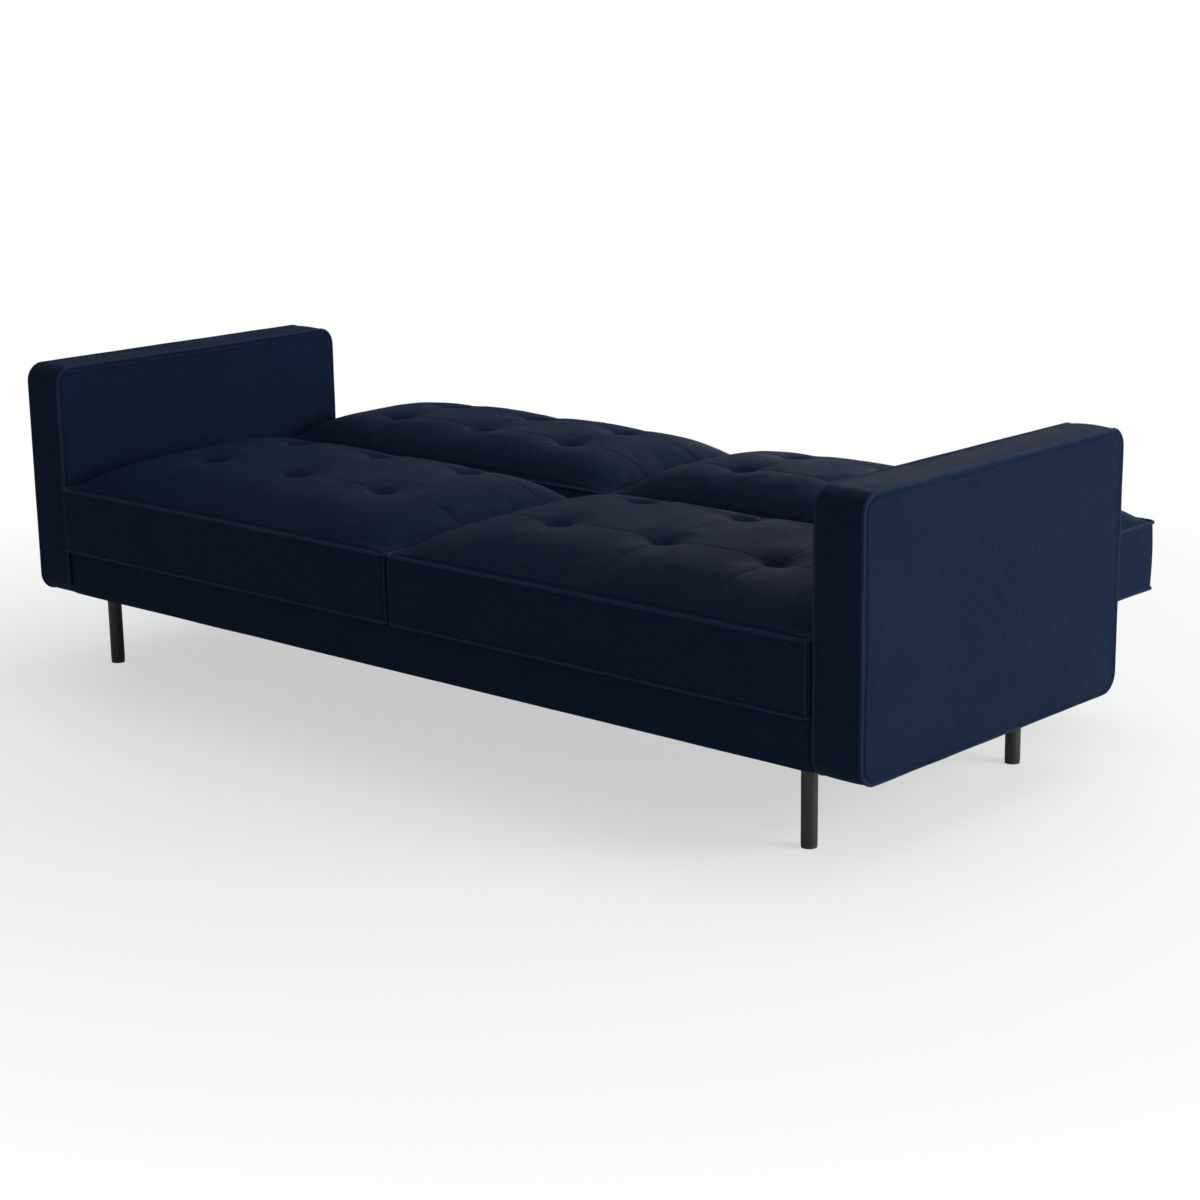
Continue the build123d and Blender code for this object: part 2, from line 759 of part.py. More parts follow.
def write_back():
    x_out = back_bar_out - plate
    y0, y1 = hinge_y + joint_gap + skin, back_end - skin
    lower, upper = cross_rails(y0, y1, x_out, back_timber_base)
    save("back_lower_timber", lower)
    save("back_top_timber", upper)
    _, bolts = bar_bolt_places()
    save_pair("back_side_timber", side_timber(x_out, y0, y1, back_timber_base, bolts))
    t = cushion_timber
    top = back_timber_base + timber_height
    save("back_centre_timber", block(-t / 2, t / 2, y0 + t, y1 - t, back_timber_base, top))
    save("back_webbing", *webbing(back_straps, x_out, y0, y1, top))
    save_pair("back_cushion", back_cushion())
    save("back_piping", *both_sides(Compound(back_cords())))
    save("back_buttons", *both_sides(Compound(buttons(back_button_places(), back_seam))))
    save_pair("back_hinge_bar", back_bar())
    save("back_hinge_bolts", *both_sides(Compound(bar_bolts(bolts, back_bar_out))))
    edge = cavity_out - 0.5
    save("back_panel", block(-edge, edge, y0 + 0.5, y1 - 0.5, back_lift, back_lift + panel))


write_base()
write_seat()
write_back()
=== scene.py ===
"""Looks of a folding sofa bed in dark navy velvet, built round its model. Metres, X along the seat, Z up."""
import json
import math

import bpy
import numpy as np
from mathutils import Matrix, Vector, noise


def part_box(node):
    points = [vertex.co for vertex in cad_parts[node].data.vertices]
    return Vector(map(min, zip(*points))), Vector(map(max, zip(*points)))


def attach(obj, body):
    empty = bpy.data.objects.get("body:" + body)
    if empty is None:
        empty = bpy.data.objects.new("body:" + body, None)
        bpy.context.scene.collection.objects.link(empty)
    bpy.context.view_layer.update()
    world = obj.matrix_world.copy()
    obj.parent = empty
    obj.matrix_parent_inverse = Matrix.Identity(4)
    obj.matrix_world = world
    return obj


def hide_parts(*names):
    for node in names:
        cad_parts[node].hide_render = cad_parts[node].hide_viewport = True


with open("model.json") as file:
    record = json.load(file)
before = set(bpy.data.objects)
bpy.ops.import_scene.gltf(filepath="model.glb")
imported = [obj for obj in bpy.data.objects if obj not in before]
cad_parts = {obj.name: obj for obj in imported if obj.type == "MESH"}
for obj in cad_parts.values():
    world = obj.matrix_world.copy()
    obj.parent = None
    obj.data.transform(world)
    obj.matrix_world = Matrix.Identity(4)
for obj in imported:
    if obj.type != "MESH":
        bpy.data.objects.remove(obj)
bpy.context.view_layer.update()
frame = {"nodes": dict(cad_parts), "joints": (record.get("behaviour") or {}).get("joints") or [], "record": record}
noise.seed_set(5)  # the waves in the cloth come out alike each time

MM = 0.001
CORD = 3.3 * MM  # radius of the welt cords
CROWN = 62 * MM
CROWN_FULL = 1.03  # the cloth's crown against the foam's, before seams and buttons pull it down
GROOVE_SLOPE = math.tan(math.radians(39.5))  # ends of the cushions above the hinge line
CORNER = 16 * MM
BUTTON = 11 * MM
BUTTON_CORE = 12 * MM  # radius of the model's own buttons
GRID = 8 * MM  # rows of a cushion's mesh
CLOTH_GRID = 12 * MM  # rows of the sheet that the cloth is solved on
CLOTH_FRAMES = 20
CLOTH_LIMIT = 4 * MM  # furthest that the solved cloth may move a point
SEAM_ROWS = (-21, -17, -13, -9, -5, -2.4, -1, 0, 1, 2.4, 5, 9, 13, 17, 21)  # mm either side of a seam
EDGE_ROWS = (2, 4, 6, 8, 10, 12, 15)  # mm in from an edge
ARM_CORNER = 34 * MM
ARM_SEAM = 6 * MM  # stitched line in from the arm's outline
STAPLE_PITCH = 60 * MM
LEG_CUT_OUT = 36 * MM  # half the width of the dust cover's holes

SEAM_BOX = {"seat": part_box("seat_piping"), "back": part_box("back_piping")}
BUTTON_BOX = {"seat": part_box("seat_buttons"), "back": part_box("back_buttons")}
HINGE_Z = next(j for j in frame["joints"] if j["name"] == "back_fold")["pos_m"][2]


# ---- Materials ----


def group(name, inputs, outputs):
    """A shader node group with named sockets: returns the tree, its input node and its output node."""
    tree = bpy.data.node_groups.new(name, "ShaderNodeTree")
    for label, kind, value in inputs:
        socket = tree.interface.new_socket(label, in_out="INPUT", socket_type=kind)
        socket.default_value = value
    for label, kind in outputs:
        tree.interface.new_socket(label, in_out="OUTPUT", socket_type=kind)
    return tree, tree.nodes.new("NodeGroupInput"), tree.nodes.new("NodeGroupOutput")


def noise_node(tree, vector, scale, detail=3.0, rough=0.5):
    """Noise at each place, 0 to 1."""
    node = tree.nodes.new("ShaderNodeTexNoise")
    node.inputs["Detail"].default_value = detail
    node.inputs["Roughness"].default_value = rough
    tree.links.new(vector, node.inputs["Vector"])
    if isinstance(scale, (int, float)):
        node.inputs["Scale"].default_value = scale
    else:
        tree.links.new(scale, node.inputs["Scale"])
    return node.outputs["Fac"]


def span(tree, value, low, high, to_low=0.0, to_high=1.0):
    """Stretches part of a value's range, clamped."""
    node = tree.nodes.new("ShaderNodeMapRange")
    for label, number in (("From Min", low), ("From Max", high), ("To Min", to_low), ("To Max", to_high)):
        node.inputs[label].default_value = number
    tree.links.new(value, node.inputs["Value"])
    return node.outputs["Result"]


def maths(tree, operation, a, b):
    """One maths node on two numbers or sockets."""
    node = tree.nodes.new("ShaderNodeMath")
    node.operation = operation
    for socket, value in zip(node.inputs, (a, b)):
        if isinstance(value, (int, float)):
            socket.default_value = value
        else:
            tree.links.new(value, socket)
    return node.outputs[0]


def blend_colour(tree, factor, a, b):
    """A colour between a and b, each a tuple or a socket."""
    node = tree.nodes.new("ShaderNodeMix")
    node.data_type = "RGBA"
    tree.links.new(factor, node.inputs["Factor"])
    for socket, value in ((node.inputs[6], a), (node.inputs[7], b)):
        if isinstance(value, tuple):
            socket.default_value = (*value, 1.0)
        else:
            tree.links.new(value, socket)
    return node.outputs[2]


def nap_group():
    """Brushed pile: soft lighter and darker patches, and the height of the fibres."""
    tree, start, end = group(
        "brushed_pile",
        [("Vector", "NodeSocketVector", (0, 0, 0)), ("Dark", "NodeSocketColor", (0, 0, 0, 1)),
         ("Light", "NodeSocketColor", (1, 1, 1, 1)), ("Patch Scale", "NodeSocketFloat", 9.0),
         ("Fibre Scale", "NodeSocketFloat", 190.0)],
        [("Colour", "NodeSocketColor"), ("Height", "NodeSocketFloat"), ("Patches", "NodeSocketFloat")],
    )
    patches = noise_node(tree, start.outputs["Vector"], start.outputs["Patch Scale"], 4.0, 0.6)
    fibres = noise_node(tree, start.outputs["Vector"], start.outputs["Fibre Scale"], 4.0, 0.85)
    streak_map = tree.nodes.new("ShaderNodeMapping")
    streak_map.inputs["Scale"].default_value = (330, 330, 45)
    tree.links.new(start.outputs["Vector"], streak_map.inputs["Vector"])
    streaks = noise_node(tree, streak_map.outputs["Vector"], 1.0, 2.0, 0.6)
    soft = span(tree, patches, 0.32, 0.70)
    fibres = span(tree, fibres, 0.38, 0.62)
    mixed = maths(tree, "ADD", maths(tree, "MULTIPLY", soft, 0.16), maths(tree, "MULTIPLY", fibres, 0.68))
    mixed = maths(tree, "ADD", mixed, maths(tree, "MULTIPLY", streaks, 0.16))
    colour = blend_colour(tree, mixed, start.outputs["Dark"], start.outputs["Light"])
    tree.links.new(colour, end.inputs["Colour"])
    height = maths(tree, "ADD", fibres, maths(tree, "MULTIPLY", streaks, 0.5))
    tree.links.new(height, end.inputs["Height"])
    tree.links.new(soft, end.inputs["Patches"])
    return tree


def grain_group():
    """Grain or brushing that runs along one axis: a colour mask and a height."""
    tree, start, end = group(
        "long_grain",
        [("Vector", "NodeSocketVector", (0, 0, 0)), ("Stretch", "NodeSocketVector", (1, 20, 20)),
         ("Scale", "NodeSocketFloat", 10.0)],
        [("Mask", "NodeSocketFloat"), ("Height", "NodeSocketFloat")],
    )
    scale = tree.nodes.new("ShaderNodeVectorMath")
    scale.operation = "MULTIPLY"
    tree.links.new(start.outputs["Vector"], scale.inputs[0])
    tree.links.new(start.outputs["Stretch"], scale.inputs[1])
    broad = noise_node(tree, scale.outputs[0], start.outputs["Scale"], 5.0, 0.55)
    fine = noise_node(tree, scale.outputs[0], maths(tree, "MULTIPLY", start.outputs["Scale"], 6.0), 2.0, 0.6)
    mask = maths(tree, "ADD", maths(tree, "MULTIPLY", broad, 0.7), maths(tree, "MULTIPLY", fine, 0.3))
    tree.links.new(span(tree, mask, 0.3, 0.7), end.inputs["Mask"])
    tree.links.new(fine, end.inputs["Height"])
    return tree


def wear_group():
    """Rubbed edges, from how far a rounded edge's normal leans from the face's own, broken up by noise."""
    tree, start, end = group(
        "edge_wear",
        [("Vector", "NodeSocketVector", (0, 0, 0)), ("Colour", "NodeSocketColor", (0, 0, 0, 1)),
         ("Worn", "NodeSocketColor", (1, 1, 1, 1)), ("Amount", "NodeSocketFloat", 0.5)],
        [("Colour", "NodeSocketColor"), ("Mask", "NodeSocketFloat")],
    )
    rounded = tree.nodes.new("ShaderNodeBevel")
    rounded.inputs["Radius"].default_value = 0.0015
    plain = tree.nodes.new("ShaderNodeNewGeometry")
    dot = tree.nodes.new("ShaderNodeVectorMath")
    dot.operation = "DOT_PRODUCT"
    tree.links.new(rounded.outputs[0], dot.inputs[0])
    tree.links.new(plain.outputs["Normal"], dot.inputs[1])
    edge = span(tree, dot.outputs["Value"], 0.995, 0.80)
    patches = span(tree, noise_node(tree, start.outputs["Vector"], 60.0, 4.0, 0.6), 0.40, 0.62)
    mask = maths(tree, "MULTIPLY", maths(tree, "MULTIPLY", edge, patches), start.outputs["Amount"])
    colour = blend_colour(tree, mask, start.outputs["Colour"], start.outputs["Worn"])
    tree.links.new(colour, end.inputs["Colour"])
    tree.links.new(mask, end.inputs["Mask"])
    return tree


NAP, GRAIN, WEAR = nap_group(), grain_group(), wear_group()


def finish_material(name, roughness, metallic=0.0, **fixed):
    """A material with a Principled shader and Object coordinates; fixed values go straight on its sockets."""
    material = bpy.data.materials.new(name)
    material.use_nodes = True
    tree = material.node_tree
    shader = tree.nodes["Principled BSDF"]
    shader.inputs["Roughness"].default_value = roughness
    shader.inputs["Metallic"].default_value = metallic
    for label, value in fixed.items():
        shader.inputs[label.replace("_", " ")].default_value = value
    place = tree.nodes.new("ShaderNodeTexCoord").outputs["Object"]
    return material, tree, shader, place


def placed(tree, node_group, place, **values):
    """A shader node group in a material, with its inputs set or linked."""
    node = tree.nodes.new("ShaderNodeGroup")
    node.node_tree = node_group
    tree.links.new(place, node.inputs["Vector"])
    for label, value in values.items():
        socket = node.inputs[label.replace("_", " ")]
        if hasattr(value, "links"):
            tree.links.new(value, socket)
        else:
            socket.default_value = value
    return node


def bumped(tree, shader, height, strength, distance):
    """Drives the shader's normal from a height."""
    bump = tree.nodes.new("ShaderNodeBump")
    bump.inputs["Strength"].default_value = strength
    bump.inputs["Distance"].default_value = distance
    tree.links.new(height, bump.inputs["Height"])
    tree.links.new(bump.outputs["Normal"], shader.inputs["Normal"])


def velvet(name, dark, light, sheen, patch_scale):
    """Short-pile velvet, matt with a faint sheen."""
    material, tree, shader, place = finish_material(
        name, 0.62, Sheen_Weight=sheen, Sheen_Roughness=0.42, Sheen_Tint=(0.22, 0.38, 0.80, 1.0),
        Specular_IOR_Level=0.02,
    )
    nap = placed(tree, NAP, place, Dark=(*dark, 1), Light=(*light, 1), Patch_Scale=patch_scale)
    tree.links.new(nap.outputs["Colour"], shader.inputs["Base Color"])
    tree.links.new(span(tree, nap.outputs["Patches"], 0.0, 1.0, 0.72, 0.56), shader.inputs["Roughness"])
    bumped(tree, shader, nap.outputs["Height"], 0.6, 0.0006)
    return material


def metal(name, colour, worn, roughness, metallic, wear, stretch, scale=40.0):
    """Coated or bare metal with brushing and rubbed edges."""
    material, tree, shader, place = finish_material(name, roughness, metallic)
    grain = placed(tree, GRAIN, place, Stretch=stretch, Scale=scale)
    edge = placed(tree, WEAR, place, Colour=(*colour, 1), Worn=(*worn, 1), Amount=wear)
    tree.links.new(edge.outputs["Colour"], shader.inputs["Base Color"])
    rough = span(tree, grain.outputs["Mask"], 0, 1, roughness - 0.08, roughness + 0.1)
    tree.links.new(rough, shader.inputs["Roughness"])
    bumped(tree, shader, grain.outputs["Height"], 0.15, 0.0002)
    return material


def timber(name):
    """Planed softwood with its grain along X."""
    material, tree, shader, place = finish_material(name, 0.62)
    grain = placed(tree, GRAIN, place, Stretch=(1.2, 14.0, 14.0), Scale=6.0)
    wood = blend_colour(tree, grain.outputs["Mask"], (0.36, 0.22, 0.11), (0.62, 0.44, 0.25))
    edge = placed(tree, WEAR, place, Colour=wood, Worn=(0.70, 0.54, 0.36, 1), Amount=0.5)
    tree.links.new(edge.outputs["Colour"], shader.inputs["Base Color"])
    bumped(tree, shader, grain.outputs["Height"], 0.3, 0.0004)
    return material


def woven(name, dark, light, thread):
    """Plain weave: two sets of threads crossing, with a little colour variation."""
    material, tree, shader, place = finish_material(name, 0.85)
    heights = []
    for direction in ("X", "Y"):
        wave = tree.nodes.new("ShaderNodeTexWave")
        wave.bands_direction = direction
        wave.inputs["Scale"].default_value = thread
        wave.inputs["Distortion"].default_value = 0.6
        tree.links.new(place, wave.inputs["Vector"])
        heights.append(wave.outputs["Fac"])
    weave = maths(tree, "MAXIMUM", *heights)
    nap = placed(tree, NAP, place, Dark=(*dark, 1), Light=(*light, 1), Patch_Scale=20.0)
    tree.links.new(nap.outputs["Colour"], shader.inputs["Base Color"])
    bumped(tree, shader, weave, 0.5, 0.0003)
    return material


def moulded(name, colour, roughness):
    """Plain rubber or plastic with a fine surface."""
    material, tree, shader, place = finish_material(name, roughness)
    edge = placed(tree, WEAR, place, Colour=(*colour, 1), Worn=(0.12, 0.12, 0.12, 1), Amount=0.5)
    tree.links.new(edge.outputs["Colour"], shader.inputs["Base Color"])
    bumped(tree, shader, noise_node(tree, place, 700.0), 0.15, 0.0003)
    return material


NAVY = velvet("navy_velvet", (0.0030, 0.0082, 0.0210), (0.0074, 0.0158, 0.0360), 0.02, 7.0)
# The welt velvet is the same navy cloth painted lighter: a painted highlight on the welt cords, the corner seams
# and the covered buttons.
PAINTED_HIGHLIGHT_WELT = velvet("welt_velvet_painted_highlight", (0.0085, 0.0162, 0.0390), (0.0145, 0.0255, 0.0560), 0.05, 30.0)
THREAD = woven("navy_thread", (0.004, 0.008, 0.022), (0.010, 0.019, 0.045), 900.0)
FINISHES = {
    "velvet": NAVY,
    "timber": timber("planed_softwood"),
    "black_metal": metal(
        "black_powder_coat", (0.006, 0.006, 0.007), (0.05, 0.05, 0.05), 0.42, 0.0, 0.35, (9, 9, 9)
    ),
    "black_hinge": metal(
        "black_lacquer_plate", (0.02, 0.02, 0.022), (0.35, 0.35, 0.36), 0.4, 0.6, 0.7, (20, 1, 1)
    ),
    "steel": metal("zinc_plate", (0.52, 0.52, 0.54), (0.75, 0.75, 0.76), 0.34, 1.0, 0.6, (1, 12, 12)),
    "rubber": moulded("rest_rubber", (0.015, 0.015, 0.016), 0.8),
    "black_plastic": moulded("glide_plastic", (0.012, 0.012, 0.013), 0.5),
    "lining": woven("black_lining", (0.010, 0.010, 0.011), (0.024, 0.024, 0.026), 420.0),
    "webbing": woven("elastic_webbing", (0.20, 0.17, 0.12), (0.42, 0.37, 0.28), 260.0),
}


def finish_cad_nodes():
    """Every CAD node that stays gets the finish of its slot."""
    slots = {part["node"]: part["material_slot"] for part in frame["record"]["subparts"]}
    for node, thing in frame["nodes"].items():
        for place in thing.material_slots:
            place.material = FINISHES[slots[node]]


# ---- Meshes ----


def new_piece(name, points, faces, material, smooth=True):
    """An object in the scene, from points and faces."""
    mesh = bpy.data.meshes.new(name)
    mesh.from_pydata([tuple(p) for p in points], [], faces)
    mesh.materials.append(material)
    mesh.validate()
    mesh.shade_smooth() if smooth else mesh.shade_flat()
    piece = bpy.data.objects.new(name, mesh)
    bpy.context.collection.objects.link(piece)
    return piece


def place_piece(piece, body, slot, *nodes):
    """Puts a piece on its body, in place of the nodes it stands for. The slot is not used."""
    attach(piece, body)
    if nodes:
        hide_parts(*nodes)


def ripple(points, amount, scale, seed):
    """Small soft waves in cloth, moved along each axis by its own noise."""
    shift = Vector((seed * 3.7, seed * 1.3, seed * 2.1))
    return [amount * noise.noise_vector(Vector(p) * scale + shift) for p in points]


# ---- Geometry Nodes: cords, stitches, buttons and staples ----


def geometry_tree(name, material, sizes):
    """A Geometry Nodes tree with named sizes; returns it with its input node, and a function that ends it."""
    tree = bpy.data.node_groups.new(name, "GeometryNodeTree")
    tree.interface.new_socket("Geometry", in_out="INPUT", socket_type="NodeSocketGeometry")
    for label, value in sizes.items():
        tree.interface.new_socket(label, in_out="INPUT", socket_type="NodeSocketFloat").default_value = value
    tree.interface.new_socket("Geometry", in_out="OUTPUT", socket_type="NodeSocketGeometry")
    start, end = tree.nodes.new("NodeGroupInput"), tree.nodes.new("NodeGroupOutput")

    def close(geometry):
        """Joins the copies, smooths them and paints them."""
        real = tree.nodes.new("GeometryNodeRealizeInstances")
        smooth = tree.nodes.new("GeometryNodeSetShadeSmooth")
        paint = tree.nodes.new("GeometryNodeSetMaterial")
        paint.inputs["Material"].default_value = material
        tree.links.new(geometry, real.inputs[0])
        tree.links.new(real.outputs[0], smooth.inputs["Geometry"])
        tree.links.new(smooth.outputs[0], paint.inputs["Geometry"])
        tree.links.new(paint.outputs[0], end.inputs[0])

    return tree, start, close


def cord_tree(name, material):
    """A round welt cord along every line of the mesh."""
    tree, start, close = geometry_tree(name, material, {"Radius": CORD})
    line = tree.nodes.new("GeometryNodeMeshToCurve")
    ring = tree.nodes.new("GeometryNodeCurvePrimitiveCircle")
    ring.inputs["Resolution"].default_value = 10
    tube = tree.nodes.new("GeometryNodeCurveToMesh")
    tube.inputs["Fill Caps"].default_value = True
    tree.links.new(start.outputs["Geometry"], line.inputs["Mesh"])
    tree.links.new(start.outputs["Radius"], ring.inputs["Radius"])
    tree.links.new(line.outputs[0], tube.inputs["Curve"])
    tree.links.new(ring.outputs[0], tube.inputs["Profile Curve"])
    close(tube.outputs[0])
    return tree


def stitch_tree(name, material):
    """Stitches of one length, spaced along every line of the mesh."""
    sizes = {"Pitch": 6 * MM, "Length": 4 * MM, "Thread": 0.8 * MM}
    tree, start, close = geometry_tree(name, material, sizes)
    line = tree.nodes.new("GeometryNodeMeshToCurve")
    spaced = tree.nodes.new("GeometryNodeResampleCurve")
    spaced.mode = "LENGTH"
    bead = tree.nodes.new("GeometryNodeMeshUVSphere")
    bead.inputs["Segments"].default_value = 6
    bead.inputs["Rings"].default_value = 4
    bead.inputs["Radius"].default_value = 0.5
    size = tree.nodes.new("ShaderNodeCombineXYZ")
    tangent = tree.nodes.new("GeometryNodeInputTangent")
    turn = tree.nodes.new("FunctionNodeAlignRotationToVector")
    turn.axis = "X"
    copies = tree.nodes.new("GeometryNodeInstanceOnPoints")
    tree.links.new(start.outputs["Geometry"], line.inputs["Mesh"])
    tree.links.new(line.outputs[0], spaced.inputs["Curve"])
    tree.links.new(start.outputs["Pitch"], spaced.inputs["Length"])
    tree.links.new(start.outputs["Length"], size.inputs[0])
    for socket in (1, 2):
        tree.links.new(start.outputs["Thread"], size.inputs[socket])
    tree.links.new(tangent.outputs[0], turn.inputs["Vector"])
    tree.links.new(spaced.outputs[0], copies.inputs["Points"])
    tree.links.new(bead.outputs["Mesh"], copies.inputs["Instance"])
    tree.links.new(turn.outputs[0], copies.inputs["Rotation"])
    tree.links.new(size.outputs[0], copies.inputs["Scale"])
    close(copies.outputs[0])
    return tree


def spot_tree(name, material, sizes, seed=7):
    """A low dome, Width by Depth by Height, at every point of the mesh, each turned a little by chance."""
    tree, start, close = geometry_tree(name, material, sizes)
    dome = tree.nodes.new("GeometryNodeMeshUVSphere")
    dome.inputs["Segments"].default_value = 20
    dome.inputs["Rings"].default_value = 10
    dome.inputs["Radius"].default_value = 1.0
    size = tree.nodes.new("ShaderNodeCombineXYZ")
    chance = tree.nodes.new("FunctionNodeRandomValue")
    chance.data_type = "FLOAT_VECTOR"
    chance.inputs[0].default_value = (-0.05, -0.05, -0.6)
    chance.inputs[1].default_value = (0.05, 0.05, 0.6)
    chance.inputs["Seed"].default_value = seed
    copies = tree.nodes.new("GeometryNodeInstanceOnPoints")
    for socket, label in enumerate(("Width", "Depth", "Height")):
        tree.links.new(start.outputs[label], size.inputs[socket])
    tree.links.new(start.outputs["Geometry"], copies.inputs["Points"])
    tree.links.new(dome.outputs["Mesh"], copies.inputs["Instance"])
    tree.links.new(chance.outputs[0], copies.inputs["Rotation"])
    tree.links.new(size.outputs[0], copies.inputs["Scale"])
    close(copies.outputs[0])
    return tree


# Cords and covered buttons take the lighter welt velvet, a painted highlight.
CORDS = cord_tree("welt_cord", PAINTED_HIGHLIGHT_WELT)
STITCHES = stitch_tree("stitching", THREAD)
BUTTONS = spot_tree("covered_buttons", PAINTED_HIGHLIGHT_WELT, {"Width": BUTTON, "Depth": BUTTON, "Height": 4 * MM})
STAPLES = spot_tree("staples", FINISHES["steel"], {"Width": 5 * MM, "Depth": 0.6 * MM, "Height": 0.6 * MM})


def grown(name, tree, lines, closed=False, **sizes):
    """A piece grown by a tree along the lines: a list of lists of points. Single points stay loose."""
    points, edges = [], []
    for line in lines:
        first = len(points)
        points += [tuple(p) for p in line]
        edges += [(first + i, first + i + 1) for i in range(len(line) - 1)]
        if closed:
            edges.append((first + len(line) - 1, first))
    seed = bpy.data.meshes.new(name + "_path")
    seed.from_pydata(points, edges, [])
    carrier = bpy.data.objects.new(name + "_path", seed)
    bpy.context.collection.objects.link(carrier)
    modifier = carrier.modifiers.new("grow", "NODES")
    modifier.node_group = tree
    sockets = {item.name: item.identifier for item in tree.interface.items_tree if item.in_out == "INPUT"}
    for label, value in sizes.items():
        modifier[sockets[label]] = value
    view = carrier.evaluated_get(bpy.context.evaluated_depsgraph_get())
    mesh = bpy.data.meshes.new_from_object(view)
    mesh.name = name
    bpy.data.objects.remove(carrier)
    piece = bpy.data.objects.new(name, mesh)
    bpy.context.collection.objects.link(piece)
    return piece


# ---- Cushions ----


def groove(inset):
    """Just inside a welt cord: a stitched line, with the folded seam raised beside it."""
    line = 1.6 * MM * np.exp(-(((inset - 6 * MM) / (1.9 * MM)) ** 2))
    ridge = 1.1 * MM * np.exp(-(((inset - 11 * MM) / (2.2 * MM)) ** 2))
    return line - ridge


def edge_distance(x, y, low, high):
    """How far each point lies inside the rectangle."""
    return np.minimum(np.minimum(x - low[0], high[0] - x), np.minimum(y - low[1], high[1] - y))


def grid_faces(nx, ny):
    """Faces of a grid of points held row by row, facing up."""
    return [
        (i * ny + j, (i + 1) * ny + j, (i + 1) * ny + j + 1, i * ny + j + 1)
        for i in range(nx - 1) for j in range(ny - 1)
    ]


def rounded_place(x, y, low, high, radius):
    """Moves points near a rectangle's corners so that its outline has round corners."""
    cx, cy = (low[0] + high[0]) / 2, (low[1] + high[1]) / 2
    ax, ay = (high[0] - low[0]) / 2 - radius, (high[1] - low[1]) / 2 - radius
    dx = (np.abs(x - cx) - ax) / radius
    dy = (np.abs(y - cy) - ay) / radius
    inside = (dx > 0) & (dy > 0)
    length = np.maximum(np.hypot(dx, dy), 1e-9)
    factor = np.where(inside, np.maximum(dx, dy) / length, 1.0)
    new_x = np.where(inside, cx + np.sign(x - cx) * (ax + dx * factor * radius), x)
    new_y = np.where(inside, cy + np.sign(y - cy) * (ay + dy * factor * radius), y)
    return new_x, new_y


def grid_lines(low, high, seams, fine=True):
    """Where the rows of a cushion's mesh lie: even, with closer rows at seams and edges."""
    lines = list(np.arange(low, high, GRID if fine else CLOTH_GRID)) + [high]
    if fine:
        special = [s + d * MM for s in seams for d in SEAM_ROWS]
        special += [low + d * MM for d in EDGE_ROWS] + [high - d * MM for d in EDGE_ROWS]
        kept = [v for v in lines if all(abs(v - s) > 1.8 * MM for s in special) or v in (low, high)]
        lines = kept + special
    return np.array(sorted(lines))


class Cushion:
    """Sizes of one cushion, and the height of its crown."""

    def __init__(self, kind, side):
        node = f"{kind}_cushion_{'right' if side > 0 else 'left'}"
        low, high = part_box(node)
        self.node, self.kind, self.side = node, kind, side
        self.base = low[2]
        self.seam = SEAM_BOX[kind][1][2] - 1 * MM
        rise = (self.seam - HINGE_Z) * GROOVE_SLOPE
        self.low = [low[0], low[1] + (rise if kind == "back" else 0)]
        self.high = [high[0], high[1] - (rise if kind == "seat" else 0)]
        self.full_low, self.full_high = low, high
        middle = (low[0] + high[0]) / 2
        b_low, b_high = BUTTON_BOX[kind]
        centre_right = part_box(f"{kind}_cushion_right")
        pitch = b_high[0] - BUTTON_CORE - (centre_right[0][0] + centre_right[1][0]) / 2
        self.columns = [middle - pitch, middle, middle + pitch]
        self.rows = [b_low[1] + BUTTON_CORE, b_high[1] - BUTTON_CORE]
        self.seed = 3 + side + (5 if kind == "back" else 0)

    def height(self, x, y):
        """Height above the seam: a crown that pulls down at its edges, seams and buttons."""
        rise = np.ones_like(x)
        for distance in (x - self.low[0], self.high[0] - x):
            rise = rise * (1 - np.exp(-np.maximum(distance, 0) / (59 * MM)))
        ends = (self.high[1] - y, y - self.low[1])
        at_hinge, free = ends if self.kind == "seat" else ends[::-1]
        reach = (66 if self.kind == "seat" else 49) * MM
        rise = rise * np.tanh(np.maximum(at_hinge, 0) / (50 * MM))
        rise = rise * (1 - np.exp(-np.maximum(free, 0) / reach))
        h = CROWN * CROWN_FULL * rise
        edge = edge_distance(x, y, self.low, self.high)
        fade = np.clip(edge / (60 * MM), 0, 1)
        for seams, across in ((self.columns, x), (self.rows, y)):
            for seam in seams:
                d = np.abs(across - seam)
                h = h - fade * 0.5 * MM * np.exp(-d / (20 * MM))
                h = h - (0.35 + 0.65 * fade) * 1.1 * MM * np.exp(-((d / (1.9 * MM)) ** 2))
        for bx in self.columns:
            for by in self.rows:
                r = np.hypot((x - bx) * 0.92, (y - by) * 1.05)
                for depth, width, power in ((3.5, 60, 1.5), (13, 25, 3.0), (7, 12, 2.0)):
                    h = h - depth * MM * np.exp(-((r / (width * MM)) ** power))
        h = h - groove(edge)
        return np.maximum(h, 0)


